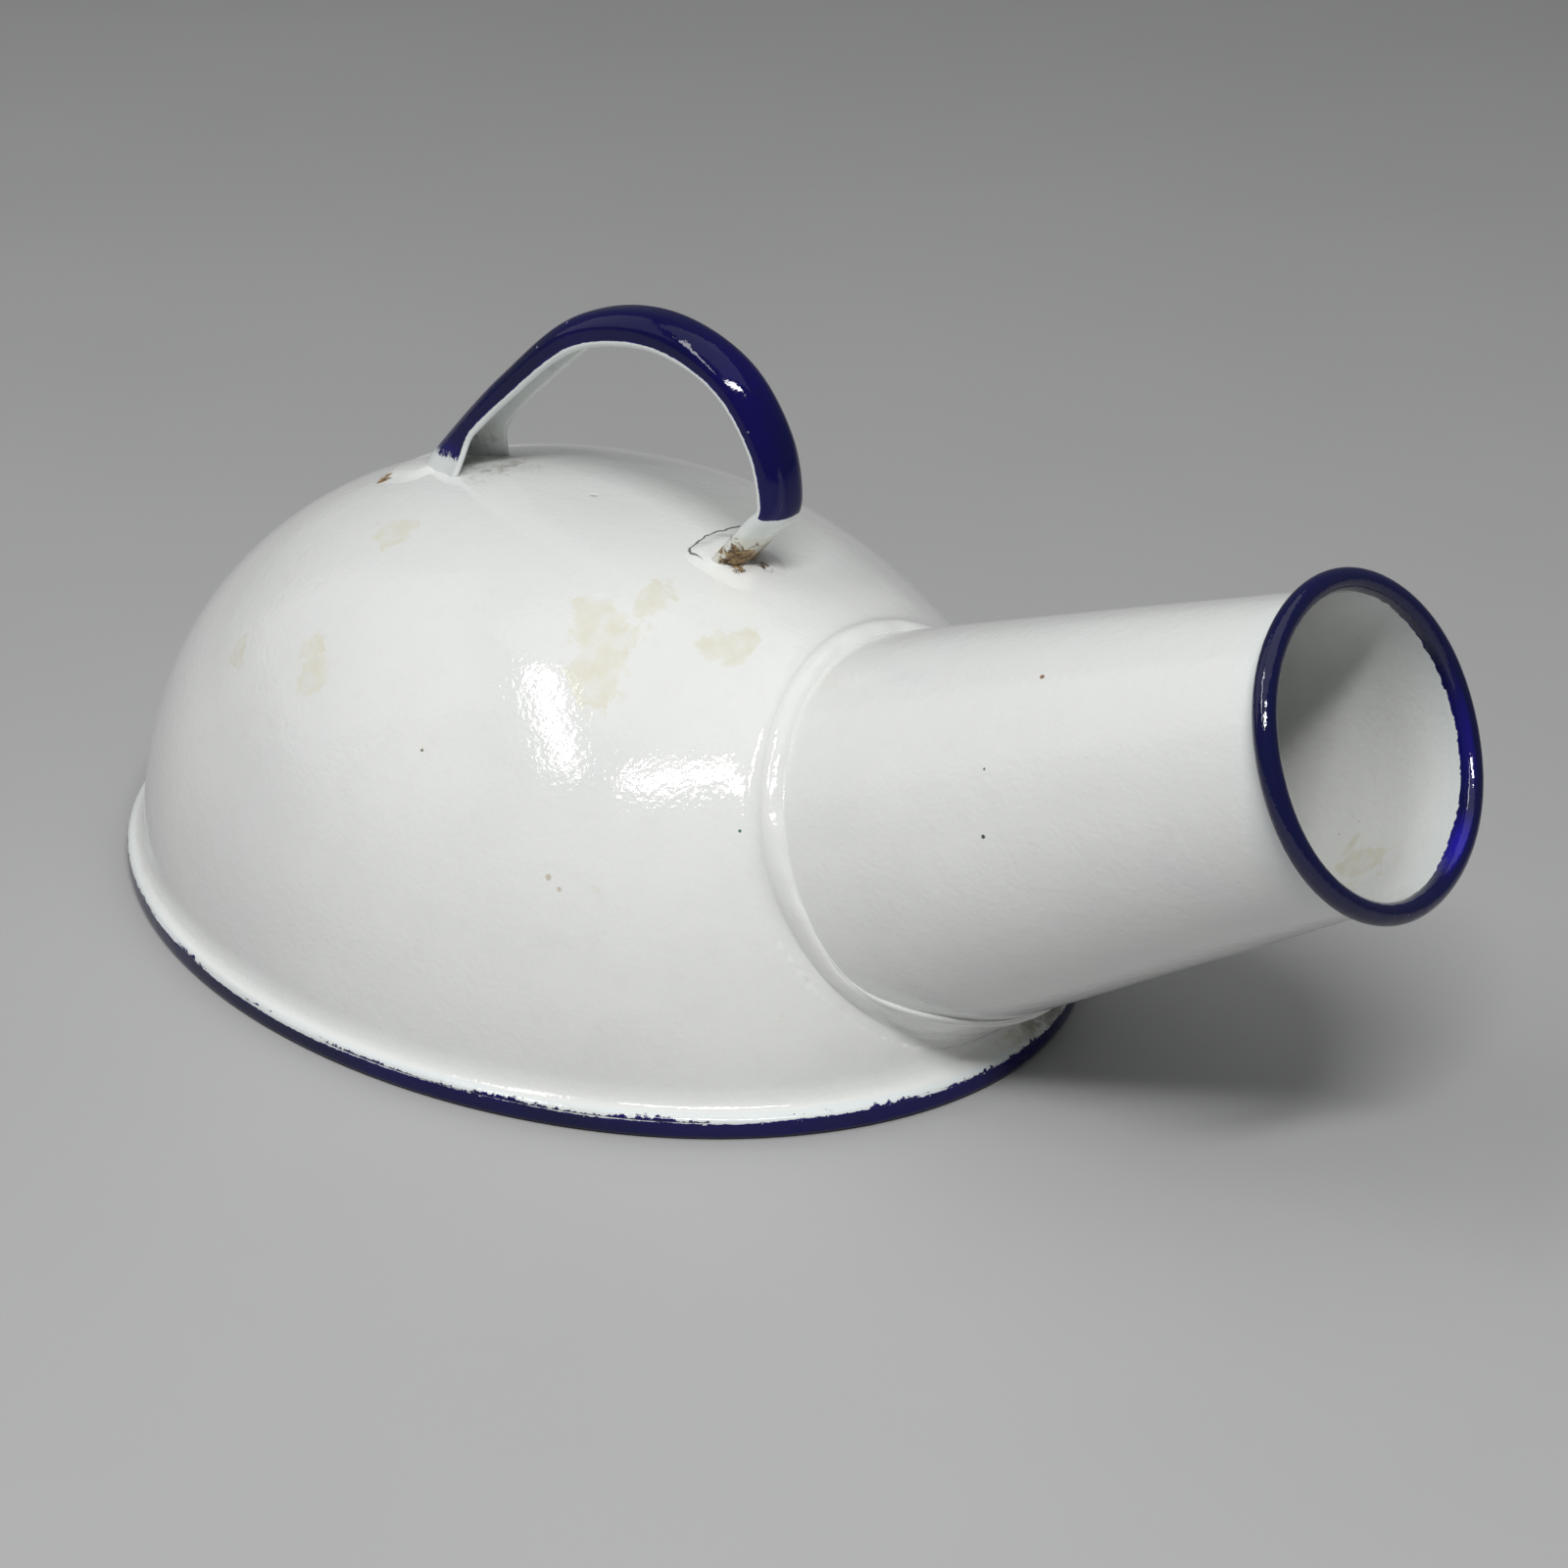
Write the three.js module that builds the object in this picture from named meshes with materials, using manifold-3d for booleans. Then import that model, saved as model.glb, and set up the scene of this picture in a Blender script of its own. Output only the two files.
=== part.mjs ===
// Enamelled-steel hand urinal (bed bottle): an oval domed vessel on a flat base, a wide tapered neck that rises
// from one end, and a strap handle over the top.
// Millimetres, +Z up, +X from the middle of the oval base towards the mouth; the XZ plane is the plane of symmetry.

import * as THREE from "three";
import { mergeVertices } from "three/addons/utils/BufferGeometryUtils.js";
import ManifoldModule from "manifold-3d";

// ---------------------------------------------------------------- driving dimensions

const SHEET = 1.0; // pressed steel sheet with its enamel
const GAP = 0.3; // clearance between neighbouring pieces
const WIDTH_RATIO = 0.777; // width of the oval over its length

const RIM_HALF_LENGTH = 100; // outside of the base seam
const SEAM_HEIGHT = 3.9; // folded seam round the base
const SEAM_LIP = 3.1; // how far the fold reaches back over the flange

const DOME_HALF_LENGTH = 96.1; // outside of the dome wall, just above the seam
const DOME_FOOT_HEIGHT = 3.1; // where the curve of the dome starts
const DOME_TOP_HEIGHT = 79.9;
const DOME_FULLNESS_SIDE = 2.51; // exponents of the dome's side curve
const DOME_FULLNESS_TOP = 1.93;
const DOME_RINGS = 15;
const OVAL_SEGMENTS = 60;

const NECK_ORIGIN = new THREE.Vector3(75, 0, 37.24); // a point of the neck's axis near the dome wall
const NECK_RISE = THREE.MathUtils.degToRad(28.65);
const NECK_ROOT_RADIUS = 35.56; // outside, at the neck's origin
const NECK_LENGTH = 95.3; // from the neck's origin to the middle of the mouth bead
const NECK_END_RADIUS = 25.15; // outside, at the mouth bead
const NECK_TUCK = 2; // how far the tube reaches inside the shell
const NECK_SEGMENTS = 48;

const BEAD_RADIUS = 2.05; // rolled edge of the mouth
const BEAD_END_ANGLE = THREE.MathUtils.degToRad(-104);
const WIRE_RADIUS = 0.7; // wire inside the rolled edge

const COLLAR_HEIGHT = 3; // drawn edge of the shell round the neck
const COLLAR_REACH_TOP = 8; // how far its fillet spreads over the dome, above the neck
const COLLAR_REACH_BOTTOM = 3.5; // and below the neck
const WELD_SIZE = 1.0; // run of weld that closes the collar onto the neck

const HANDLE_HALF_WIDTH = 5;
const HANDLE_CROWN = 0.9; // how much the strap's back is domed
const HANDLE_STATIONS = 36;
// Side view of the strap's back from the rear foot to the front foot, as [x, z].
const HANDLE_BACK = [
  [-45.0, 69.0],
  [-36.9, 78.8],
  [-19.5, 97.9],
  [-1.5, 113.1],
  [17.0, 117.4],
  [33.5, 112.4],
  [42.8, 101.0],
  [44.7, 90.5],
  [41.4, 82.4],
  [34.5, 76.4],
];
const FLANGE_DEPTH_REAR = 3.4; // side flanges of the strap at the rear foot, at the top and at the front foot
const FLANGE_DEPTH_TOP = 4.6;
const FLANGE_DEPTH_FRONT = 2.6;
const REAR_TAB_LENGTH = 7; // foot turned away from the handle
const FRONT_TAB_LENGTH = 8.5; // foot turned in under the handle
const TAB_LIFT = 0.35; // the tabs lie this far off the dome
const FOOT_WELD_RADIUS = 1.5;

// ---------------------------------------------------------------- materials

const white = { color: 0xe4e6e0, roughness: 0.16, metalness: 0 };
const blue = { color: 0x12103c, roughness: 0.12, metalness: 0 };
const steel = { color: 0x6f6a64, roughness: 0.5, metalness: 1 };

// ---------------------------------------------------------------- solid modelling helpers

const wasm = await ManifoldModule();
wasm.setup();

// A geometry as a solid for joining and cutting.
function solidOf(geometry) {
  const bare = geometry.clone();
  bare.deleteAttribute("normal");
  bare.deleteAttribute("uv");
  const merged = mergeVertices(bare, 1e-4);
  return new wasm.Manifold(
    new wasm.Mesh({
      numProp: 3,
      vertProperties: new Float32Array(merged.attributes.position.array),
      triVerts: new Uint32Array(merged.index.array),
    }),
  );
}

function geometryOf(solid) {
  const mesh = solid.getMesh();
  const geometry = new THREE.BufferGeometry();
  geometry.setAttribute("position", new THREE.BufferAttribute(new Float32Array(mesh.vertProperties), 3));
  geometry.setIndex(new THREE.BufferAttribute(new Uint32Array(mesh.triVerts), 1));
  return geometry;
}

// Turns every face round when the faces point inwards.
function faceOutward(points, faces) {
  let volume = 0;
  for (const [a, b, c] of faces) {
    volume += points[a].dot(points[b].clone().cross(points[c]));
  }
  return volume < 0 ? faces.map(([a, b, c]) => [a, c, b]) : faces;
}

function closedGeometry(points, faces) {
  const geometry = new THREE.BufferGeometry();
  geometry.setFromPoints(points);
  geometry.setIndex(faceOutward(points, faces).flat());
  return geometry;
}

// Faces between two rings of equal length, each given by the index of its first point.
function bridge(faces, first, second, count) {
  for (let i = 0; i < count; i += 1) {
    const next = (i + 1) % count;
    faces.push([first + i, first + next, second + i]);
    faces.push([first + next, second + next, second + i]);
  }
}

// Unit normals of an open path of [r, z] points, to the left of the way it runs, with r scaled by `ratio`.
function pathNormals(path, ratio) {
  return path.map((point, i) => {
    const before = path[Math.max(i - 1, 0)];
    const after = path[Math.min(i + 1, path.length - 1)];
    const normal = new THREE.Vector2(before[1] - after[1], (after[0] - before[0]) * ratio);
    if (point[0] === 0) {
      normal.set(0, 1);
    }
    return normal.normalize();
  });
}

// A sheet turned about Z: `path` is one face of the sheet as [r, z] points and the other face lies `thickness` to its
// left. The radius across (along Y) is the radius along X times `ratio`. A path that starts on the axis closes there.
function turnedSheet(path, thickness, ratio, segments) {
  const alongX = pathNormals(path, 1);
  const alongY = pathNormals(path, ratio);
  const near = path.map(([r, z]) => ({ a: r, b: r * ratio, z }));
  const far = path.map(([r, z], i) => ({
    a: r + thickness * alongX[i].x,
    b: r * ratio + thickness * alongY[i].x,
    z: z + (thickness * (alongX[i].y + alongY[i].y)) / 2,
  }));
  const rings = [...near, ...far.reverse()];
  const closesOnAxis = path[0][0] === 0;
  const points = [];
  const faces = [];
  const starts = [];
  for (const ring of rings) {
    starts.push(points.length);
    const count = ring.a === 0 ? 1 : segments;
    for (let i = 0; i < count; i += 1) {
      const angle = (2 * Math.PI * i) / segments;
      points.push(new THREE.Vector3(ring.a * Math.cos(angle), ring.b * Math.sin(angle), ring.z));
    }
  }
  const pairs = closesOnAxis ? rings.length - 1 : rings.length;
  for (let k = 0; k < pairs; k += 1) {
    const here = starts[k];
    const there = starts[(k + 1) % rings.length];
    if (rings[k].a === 0) {
      for (let i = 0; i < segments; i += 1) {
        faces.push([here, there + i, there + ((i + 1) % segments)]);
      }
    } else if (rings[(k + 1) % rings.length].a === 0) {
      for (let i = 0; i < segments; i += 1) {
        faces.push([there, here + ((i + 1) % segments), here + i]);
      }
    } else {
      bridge(faces, there, here, segments);
    }
  }
  return closedGeometry(points, faces);
}

// A closed ring body: `sections` are equal lists of points, one list for each step round the ring.
function ringBody(sections) {
  const points = sections.flat();
  const size = sections[0].length;
  const faces = [];
  sections.forEach((_, k) => {
    bridge(faces, k * size, ((k + 1) % sections.length) * size, size);
  });
  return closedGeometry(points, faces);
}

// A body swept through `sections`, equal lists of points, with flat ends triangulated from `outline`.
function sweptBody(sections, outline) {
  const points = sections.flat();
  const size = outline.length;
  const faces = [];
  for (let k = 0; k + 1 < sections.length; k += 1) {
    bridge(faces, k * size, (k + 1) * size, size);
  }
  const counterclockwise = THREE.ShapeUtils.area(outline) > 0;
  const cap = THREE.ShapeUtils.triangulateShape(outline, []);
  const last = (sections.length - 1) * size;
  for (const [a, b, c] of cap) {
    faces.push(counterclockwise ? [c, b, a] : [a, b, c]);
    faces.push(counterclockwise ? [last + a, last + b, last + c] : [last + c, last + b, last + a]);
  }
  return closedGeometry(points, faces);
}

// ---------------------------------------------------------------- dome

// Side curve of the dome from the top down, grown outwards by `grow`.
function domeCurve(grow, rings) {
  const curve = [];
  for (let i = 0; i <= rings; i += 1) {
    const angle = (Math.PI / 2) * (1 - i / rings);
    const r = (DOME_HALF_LENGTH + grow) * Math.cos(angle) ** (2 / DOME_FULLNESS_SIDE);
    const rise = (DOME_TOP_HEIGHT + grow - DOME_FOOT_HEIGHT) * Math.sin(angle) ** (2 / DOME_FULLNESS_TOP);
    curve.push([i === 0 ? 0 : r, DOME_FOOT_HEIGHT + rise]);
  }
  return curve;
}

// Below 1 inside the dome's outer face, above 1 outside it.
function domeLevel(point) {
  const r = Math.hypot(point.x, point.y / WIDTH_RATIO) / DOME_HALF_LENGTH;
  const rise = Math.max(point.z - DOME_FOOT_HEIGHT, 0) / (DOME_TOP_HEIGHT - DOME_FOOT_HEIGHT);
  return r ** DOME_FULLNESS_SIDE + rise ** DOME_FULLNESS_TOP;
}

// Height of the dome's outer face on its centre line.
function domeHeight(x) {
  const r = Math.abs(x) / DOME_HALF_LENGTH;
  const rise = (1 - r ** DOME_FULLNESS_SIDE) ** (1 / DOME_FULLNESS_TOP);
  return DOME_FOOT_HEIGHT + rise * (DOME_TOP_HEIGHT - DOME_FOOT_HEIGHT);
}

// The space within the dome, grown by `grow`, as a solid that reaches down to the floor.
function domeBlock(grow) {
  const curve = domeCurve(grow, DOME_RINGS);
  const foot = DOME_HALF_LENGTH + grow;
  const profile = [...curve, [foot, -1], [0, -1]];
  const turned = new THREE.LatheGeometry(
    profile.map(([r, z]) => new THREE.Vector2(r, z)).reverse(),
    OVAL_SEGMENTS,
  );
  turned.rotateX(Math.PI / 2);
  turned.scale(1, (DOME_HALF_LENGTH * WIDTH_RATIO + grow) / foot, 1);
  return solidOf(turned);
}

// ---------------------------------------------------------------- neck

const neckAxis = new THREE.Vector3(Math.cos(NECK_RISE), 0, Math.sin(NECK_RISE));
const neckUp = new THREE.Vector3(-Math.sin(NECK_RISE), 0, Math.cos(NECK_RISE));
const sideways = new THREE.Vector3(0, 1, 0);

function neckRadius(along) {
  return NECK_ROOT_RADIUS + ((NECK_END_RADIUS - NECK_ROOT_RADIUS) * along) / NECK_LENGTH;
}

// A point `along` the neck's axis and `out` from it; the angle starts at the top of the neck.
function neckPoint(along, out, angle) {
  return NECK_ORIGIN.clone()
    .addScaledVector(neckAxis, along)
    .addScaledVector(neckUp, out * Math.cos(angle))
    .addScaledVector(sideways, out * Math.sin(angle));
}

// Where a line parallel to the neck's axis comes out of the dome.
function neckExit(clearance, angle) {
  let inside = -12;
  let outside = 16;
  for (let i = 0; i < 30; i += 1) {
    const middle = (inside + outside) / 2;
    const point = neckPoint(middle, neckRadius(middle) + clearance, angle);
    if (domeLevel(point) > 1) {
      outside = middle;
    } else {
      inside = middle;
    }
  }
  return (inside + outside) / 2;
}

function alignWithNeck(geometry) {
  geometry.rotateY(Math.PI / 2 - NECK_RISE);
  geometry.translate(NECK_ORIGIN.x, NECK_ORIGIN.y, NECK_ORIGIN.z);
  return geometry;
}

function turnedSolid(profile) {
  const turned = new THREE.LatheGeometry(
    profile.map(([r, z]) => new THREE.Vector2(r, z)),
    NECK_SEGMENTS,
  );
  turned.rotateX(Math.PI / 2);
  return turned;
}

// The room the neck needs through the shell.
function neckBore(clearance) {
  const start = -7;
  const end = 24;
  const bore = turnedSolid([
    [0, start],
    [neckRadius(start) + clearance, start],
    [neckRadius(end) + clearance, end],
    [0, end],
  ]);
  return solidOf(alignWithNeck(bore));
}

function neckTube() {
  const start = -7;
  const wall = [];
  for (let i = 0; i < 6; i += 1) {
    const along = start + ((NECK_LENGTH - start) * i) / 6;
    wall.push([neckRadius(along) - SHEET, along]);
  }
  const centre = neckRadius(NECK_LENGTH) - SHEET + BEAD_RADIUS;
  const turns = 11;
  for (let i = 0; i <= turns; i += 1) {
    const angle = Math.PI + ((BEAD_END_ANGLE - Math.PI) * i) / turns;
    wall.push([centre + BEAD_RADIUS * Math.cos(angle), NECK_LENGTH + BEAD_RADIUS * Math.sin(angle)]);
  }
  const tube = turnedSheet(wall, -SHEET, 1, NECK_SEGMENTS);
  return solidOf(alignWithNeck(tube)).subtract(domeBlock(-SHEET - NECK_TUCK));
}

function mouthWire() {
  const centre = neckRadius(NECK_LENGTH) - SHEET + BEAD_RADIUS;
  const wire = new THREE.TorusGeometry(centre, WIRE_RADIUS, 8, NECK_SEGMENTS);
  wire.translate(0, 0, NECK_LENGTH);
  return alignWithNeck(wire);
}

// ---------------------------------------------------------------- shell, collar and base

const bottomness = (angle) => (1 - Math.cos(angle)) / 2;

function collar() {
  const sections = [];
  for (let i = 0; i < OVAL_SEGMENTS; i += 1) {
    const angle = (2 * Math.PI * i) / OVAL_SEGMENTS;
    const reach = THREE.MathUtils.lerp(COLLAR_REACH_TOP, COLLAR_REACH_BOTTOM, bottomness(angle));
    const root = neckExit(GAP, angle);
    const foot = neckExit(GAP + reach, angle);
    const lip = root + COLLAR_HEIGHT;
    const at = (along, clearance) => neckPoint(along, neckRadius(along) + clearance, angle);
    const crest = at(lip - 0.35, GAP + SHEET + 0.15);
    const crease = at(root + 0.5, GAP + SHEET);
    const landing = at(foot, GAP + reach);
    const fillet = new THREE.QuadraticBezierCurve3(crest, crease, landing).getPoints(5);
    sections.push([
      at(root - 0.8, GAP),
      at(lip, GAP),
      at(lip, GAP + SHEET * 0.75),
      ...fillet,
      at(foot - 0.5, GAP + reach - 0.2),
    ]);
  }
  return ringBody(sections);
}

function bodyShell() {
  const wall = domeCurve(0, DOME_RINGS);
  wall.push([DOME_HALF_LENGTH + 0.3, 2.75]);
  wall.push([DOME_HALF_LENGTH + 1, 2.5]);
  wall.push([RIM_HALF_LENGTH - SHEET - GAP - 0.3, 2.5]);
  const shell = solidOf(turnedSheet(wall, -SHEET, WIDTH_RATIO, OVAL_SEGMENTS));
  return shell.subtract(neckBore(GAP)).add(solidOf(collar()));
}

// Flat bottom whose edge is folded up and back over the flange of the shell.
function basePan() {
  const edge = RIM_HALF_LENGTH;
  const face = [
    [0, 0],
    [edge * 0.5, 0],
    [edge - 1.5, 0],
    [edge - 0.5, 0.3],
    [edge, 1.0],
    [edge, SEAM_HEIGHT - 1.0],
    [edge - 0.4, SEAM_HEIGHT - 0.3],
    [edge - 1.2, SEAM_HEIGHT],
    [edge - SEAM_LIP, SEAM_HEIGHT + 0.3],
  ];
  return turnedSheet(face, SHEET, WIDTH_RATIO, OVAL_SEGMENTS);
}

// Run of weld and glaze that closes the joint between the collar's edge and the neck, heavier underneath.
function neckWeld() {
  const sections = [];
  for (let i = 0; i < OVAL_SEGMENTS; i += 1) {
    const angle = (2 * Math.PI * i) / OVAL_SEGMENTS;
    const size = WELD_SIZE * (1 + 0.5 * bottomness(angle));
    const base = neckExit(GAP, angle) + COLLAR_HEIGHT + GAP;
    const at = (along, clearance) => neckPoint(along, neckRadius(along) + clearance, angle);
    sections.push([
      at(base, GAP),
      at(base + size * 1.5, GAP),
      at(base + size, GAP + size * 0.5),
      at(base + size * 0.4, GAP + size * 0.85),
      at(base, GAP + size * 0.9),
    ]);
  }
  return ringBody(sections);
}

// ---------------------------------------------------------------- handle

const handleCurve = new THREE.CatmullRomCurve3(
  HANDLE_BACK.map(([x, z]) => new THREE.Vector3(x, 0, z)),
  false,
  "centripetal",
);

function flangeDepth(share) {
  return share < 0.5
    ? THREE.MathUtils.lerp(FLANGE_DEPTH_REAR, FLANGE_DEPTH_TOP, share * 2)
    : THREE.MathUtils.lerp(FLANGE_DEPTH_TOP, FLANGE_DEPTH_FRONT, share * 2 - 1);
}

// Cross-section of the strap as [across, outwards]: a crowned back with a flange down each side.
function strapOutline(depth, clearance) {
  const half = HANDLE_HALF_WIDTH + clearance;
  const back = clearance;
  const inner = HANDLE_HALF_WIDTH - SHEET - clearance;
  const belly = -SHEET - clearance;
  const edge = -depth - clearance;
  return [
    [-half, edge],
    [-inner, edge],
    [-inner, belly - 0.9],
    [-inner + 0.9, belly - 0.1],
    [0, belly + HANDLE_CROWN * 0.8],
    [inner - 0.9, belly - 0.1],
    [inner, belly - 0.9],
    [inner, edge],
    [half, edge],
    [half, back - 1.1],
    [half - 0.5, back - 0.3],
    [half - 1.4, back + 0.2],
    [half * 0.4, back + HANDLE_CROWN * 0.8],
    [0, back + HANDLE_CROWN],
    [-half * 0.4, back + HANDLE_CROWN * 0.8],
    [-half + 1.4, back + 0.2],
    [-half + 0.5, back - 0.3],
    [-half, back - 1.1],
  ];
}

function strapChannel(clearance) {
  const sections = [];
  for (let i = 0; i <= HANDLE_STATIONS; i += 1) {
    const share = i / HANDLE_STATIONS;
    const middle = handleCurve.getPointAt(share);
    const tangent = handleCurve.getTangentAt(share);
    const outward = new THREE.Vector3(-tangent.z, 0, tangent.x);
    sections.push(
      strapOutline(flangeDepth(share), clearance).map(([across, out]) =>
        middle.clone().addScaledVector(sideways, across).addScaledVector(outward, out),
      ),
    );
  }
  const outline = strapOutline(flangeDepth(0), clearance).map(([across, out]) => new THREE.Vector2(across, out));
  return solidOf(sweptBody(sections, outline));
}

// Foot of the strap: a flat tab that lies along the dome from x = `from` to x = `to`.
function footTab(from, to, clearance) {
  const half = HANDLE_HALF_WIDTH - 0.1 + clearance;
  const outline = [
    [-half, -clearance],
    [half, -clearance],
    [half, SHEET + clearance],
    [-half, SHEET + clearance],
  ];
  const sections = [];
  const steps = 6;
  for (let i = 0; i <= steps; i += 1) {
    const x = THREE.MathUtils.lerp(from, to, i / steps);
    const base = domeHeight(x) + TAB_LIFT;
    sections.push(outline.map(([across, up]) => new THREE.Vector3(x, across, base + up)));
  }
  return solidOf(sweptBody(sections, outline.map(([across, up]) => new THREE.Vector2(across, up))));
}

const REAR_HEEL = -39.6; // where the strap's back meets the dome, rear and front
const FRONT_HEEL = 37.2;

function strap(clearance) {
  return strapChannel(clearance)
    .add(footTab(REAR_HEEL - REAR_TAB_LENGTH - clearance, REAR_HEEL + 1.5, clearance))
    .add(footTab(FRONT_HEEL - FRONT_TAB_LENGTH - clearance, FRONT_HEEL - 0.5, clearance));
}

function handleStrap() {
  return strap(0).subtract(domeBlock(GAP));
}

// Weld run round the free end of a foot tab, lying on the dome; `end` is the tab's end and `way` points outwards.
function footWeld(end, way, length) {
  const reach = HANDLE_HALF_WIDTH + FOOT_WELD_RADIUS * 0.5;
  const corner = 2;
  const tip = end + way * FOOT_WELD_RADIUS * 0.5;
  const path = new THREE.CatmullRomCurve3(
    [
      [tip - way * length, -reach],
      [tip - way * corner, -reach],
      [tip, -reach + corner],
      [tip, 0],
      [tip, reach - corner],
      [tip - way * corner, reach],
      [tip - way * length, reach],
    ].map(([x, y]) => new THREE.Vector3(x, y, 0)),
  );
  const sections = [];
  const steps = 28;
  const sides = 10;
  for (let i = 0; i <= steps; i += 1) {
    const share = i / steps;
    const middle = path.getPointAt(share);
    const tangent = path.getTangentAt(share);
    const outward = new THREE.Vector3(tangent.y, -tangent.x, 0);
    const height = domeHeight(middle.x) + 0.2;
    const taper = 0.45 + 0.55 * Math.sin(Math.PI * share) ** 0.5;
    const section = [];
    for (let k = 0; k < sides; k += 1) {
      const angle = (2 * Math.PI * k) / sides;
      const point = middle.clone().addScaledVector(outward, FOOT_WELD_RADIUS * taper * Math.cos(angle));
      point.z = height + FOOT_WELD_RADIUS * 0.8 * taper * Math.sin(angle);
      section.push(point);
    }
    sections.push(section);
  }
  const outline = sections[0].map((_, k) => {
    const angle = (2 * Math.PI * k) / sides;
    return new THREE.Vector2(Math.cos(angle), Math.sin(angle));
  });
  return solidOf(sweptBody(sections, outline)).subtract(domeBlock(GAP)).subtract(strap(GAP));
}

// ---------------------------------------------------------------- the object

const object = new THREE.Group();
object.name = "hand_urinal";

function addPiece(name, geometry, look) {
  const shaded = geometry.index ? geometry.toNonIndexed() : geometry;
  shaded.computeVertexNormals();
  const mesh = new THREE.Mesh(shaded, new THREE.MeshStandardMaterial(look));
  mesh.name = name;
  object.add(mesh);
}

addPiece("body_shell", geometryOf(bodyShell()), white);
addPiece("base_pan", basePan(), blue);
addPiece("neck_tube", geometryOf(neckTube()), white);
addPiece("mouth_wire", mouthWire(), steel);
addPiece("neck_weld", neckWeld(), white);
addPiece("handle_strap", geometryOf(handleStrap()), blue);
addPiece("rear_foot_weld", geometryOf(footWeld(REAR_HEEL - REAR_TAB_LENGTH, -1, 7.5)), white);
addPiece("front_foot_weld", geometryOf(footWeld(FRONT_HEEL - FRONT_TAB_LENGTH, -1, 8.5)), white);

export default object;
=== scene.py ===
import math

import bpy
import numpy as np
from mathutils import Matrix, Vector


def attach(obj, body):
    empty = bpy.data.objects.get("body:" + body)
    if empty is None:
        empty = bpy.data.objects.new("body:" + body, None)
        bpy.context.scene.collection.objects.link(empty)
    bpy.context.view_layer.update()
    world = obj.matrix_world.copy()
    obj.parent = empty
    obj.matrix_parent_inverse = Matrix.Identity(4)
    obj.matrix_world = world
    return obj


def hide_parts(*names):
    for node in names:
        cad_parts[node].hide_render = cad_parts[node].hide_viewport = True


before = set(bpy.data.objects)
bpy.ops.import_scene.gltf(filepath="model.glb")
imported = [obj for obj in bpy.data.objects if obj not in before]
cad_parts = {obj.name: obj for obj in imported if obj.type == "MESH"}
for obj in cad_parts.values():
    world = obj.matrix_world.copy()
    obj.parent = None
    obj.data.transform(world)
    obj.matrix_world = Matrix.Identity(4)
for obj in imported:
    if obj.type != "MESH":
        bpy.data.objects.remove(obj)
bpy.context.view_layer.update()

# Enamel hand urinal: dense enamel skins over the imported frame. Lengths are in millimetres and become
# metres when a mesh is made; materials, lights and the camera are in metres. +Z is up, and +X runs
# from the middle of the base towards the mouth.

# ---------------------------------------------------------------- sizes

RATIO = 0.777  # width of the oval over its length
DOME_R = 96.1  # half the length of the dome at its foot
DOME_FOOT = 3.1
DOME_TOP = 79.9
FULL_SIDE = 2.51  # powers of the dome's face, for how full its side and its top are
FULL_TOP = 1.93

NECK_O = np.array([75.0, 0.0, 37.24])  # start of the neck's axis, inside the dome
RISE = math.radians(28.65)
AXIS = np.array([math.cos(RISE), 0.0, math.sin(RISE)])
UP = np.array([-math.sin(RISE), 0.0, math.cos(RISE)])
SIDE = np.array([0.0, 1.0, 0.0])
NECK_R0 = 35.56  # outer radius of the neck at its start, and at its end
NECK_R1 = 25.15
NECK_L = 95.3
BEAD = 1.85  # radius of the bead round the mouth
BEAD_OUT = 1.25  # from the neck's outer face to the middle of the bead
BEAD_START = NECK_L - 2.05  # where the bead and its trim begin
WALL = 1.0

# the handle's back in its side view, as (x, z)
HANDLE_BACK = [
    (-45.0, 69.0),
    (-36.9, 78.8),
    (-19.5, 97.9),
    (-1.5, 113.1),
    (17.0, 117.4),
    (33.5, 112.4),
    (42.8, 101.0),
    (45.0, 90.6),
    (44.3, 88.0),
    (41.5, 85.1),
    (38.4, 81.4),
    (35.0, 77.4),
    (32.6, 74.6),
]
HALF_WIDTH = 5.0
FRONT_TRIM_END = 88.7  # heights at which the handle's trim ends
REAR_TRIM_END = 81.0

# ---------------------------------------------------------------- colours

WHITE_LOW = (0.775, 0.785, 0.765)
WHITE_HIGH = (0.825, 0.835, 0.805)
WHITE_COOL = (0.76, 0.77, 0.775)
WHITE_DULL = (0.66, 0.66, 0.63)
WHITE_CYAN = (0.70, 0.80, 0.82)
STAIN = (0.70, 0.67, 0.50)
SPECK = (0.16, 0.15, 0.13)
COBALT_LOW = (0.003, 0.004, 0.044)
COBALT_HIGH = (0.005, 0.003, 0.080)
COBALT_DULL = (0.004, 0.007, 0.045)
COBALT_EDGE = (0.010, 0.006, 0.14)
COBALT_PAINTED_LIT = (0.012, 0.004, 0.34)
FLECK = (0.42, 0.45, 0.58)
CHIP = (0.02, 0.02, 0.025)
CRACK = (0.05, 0.05, 0.06)
GRIME_AND_SHADE = (0.15, 0.11, 0.065)
RUST_DARK = (0.065, 0.032, 0.014)
RUST_PALE = (0.50, 0.35, 0.18)

# the crack round the front foot: the middle and the half size of its ring in x and y, in metres
CRACK_MIDDLE = (0.0335, 0.0036)
CRACK_HALF = (0.0085, 0.0093)

NO_TRIM = -9.0  # mark of a point that lies far from any trim

rng = np.random.default_rng(11)


# ---------------------------------------------------------------- small helpers


def smooth(value, low, high):
    t = np.clip((value - low) / (high - low), 0, 1)
    return t * t * (3 - 2 * t)


def lerp(a, b, t):
    return a + (b - a) * t


def unit(v):
    return v / np.maximum(np.linalg.norm(v, axis=-1, keepdims=True), 1e-9)


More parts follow.
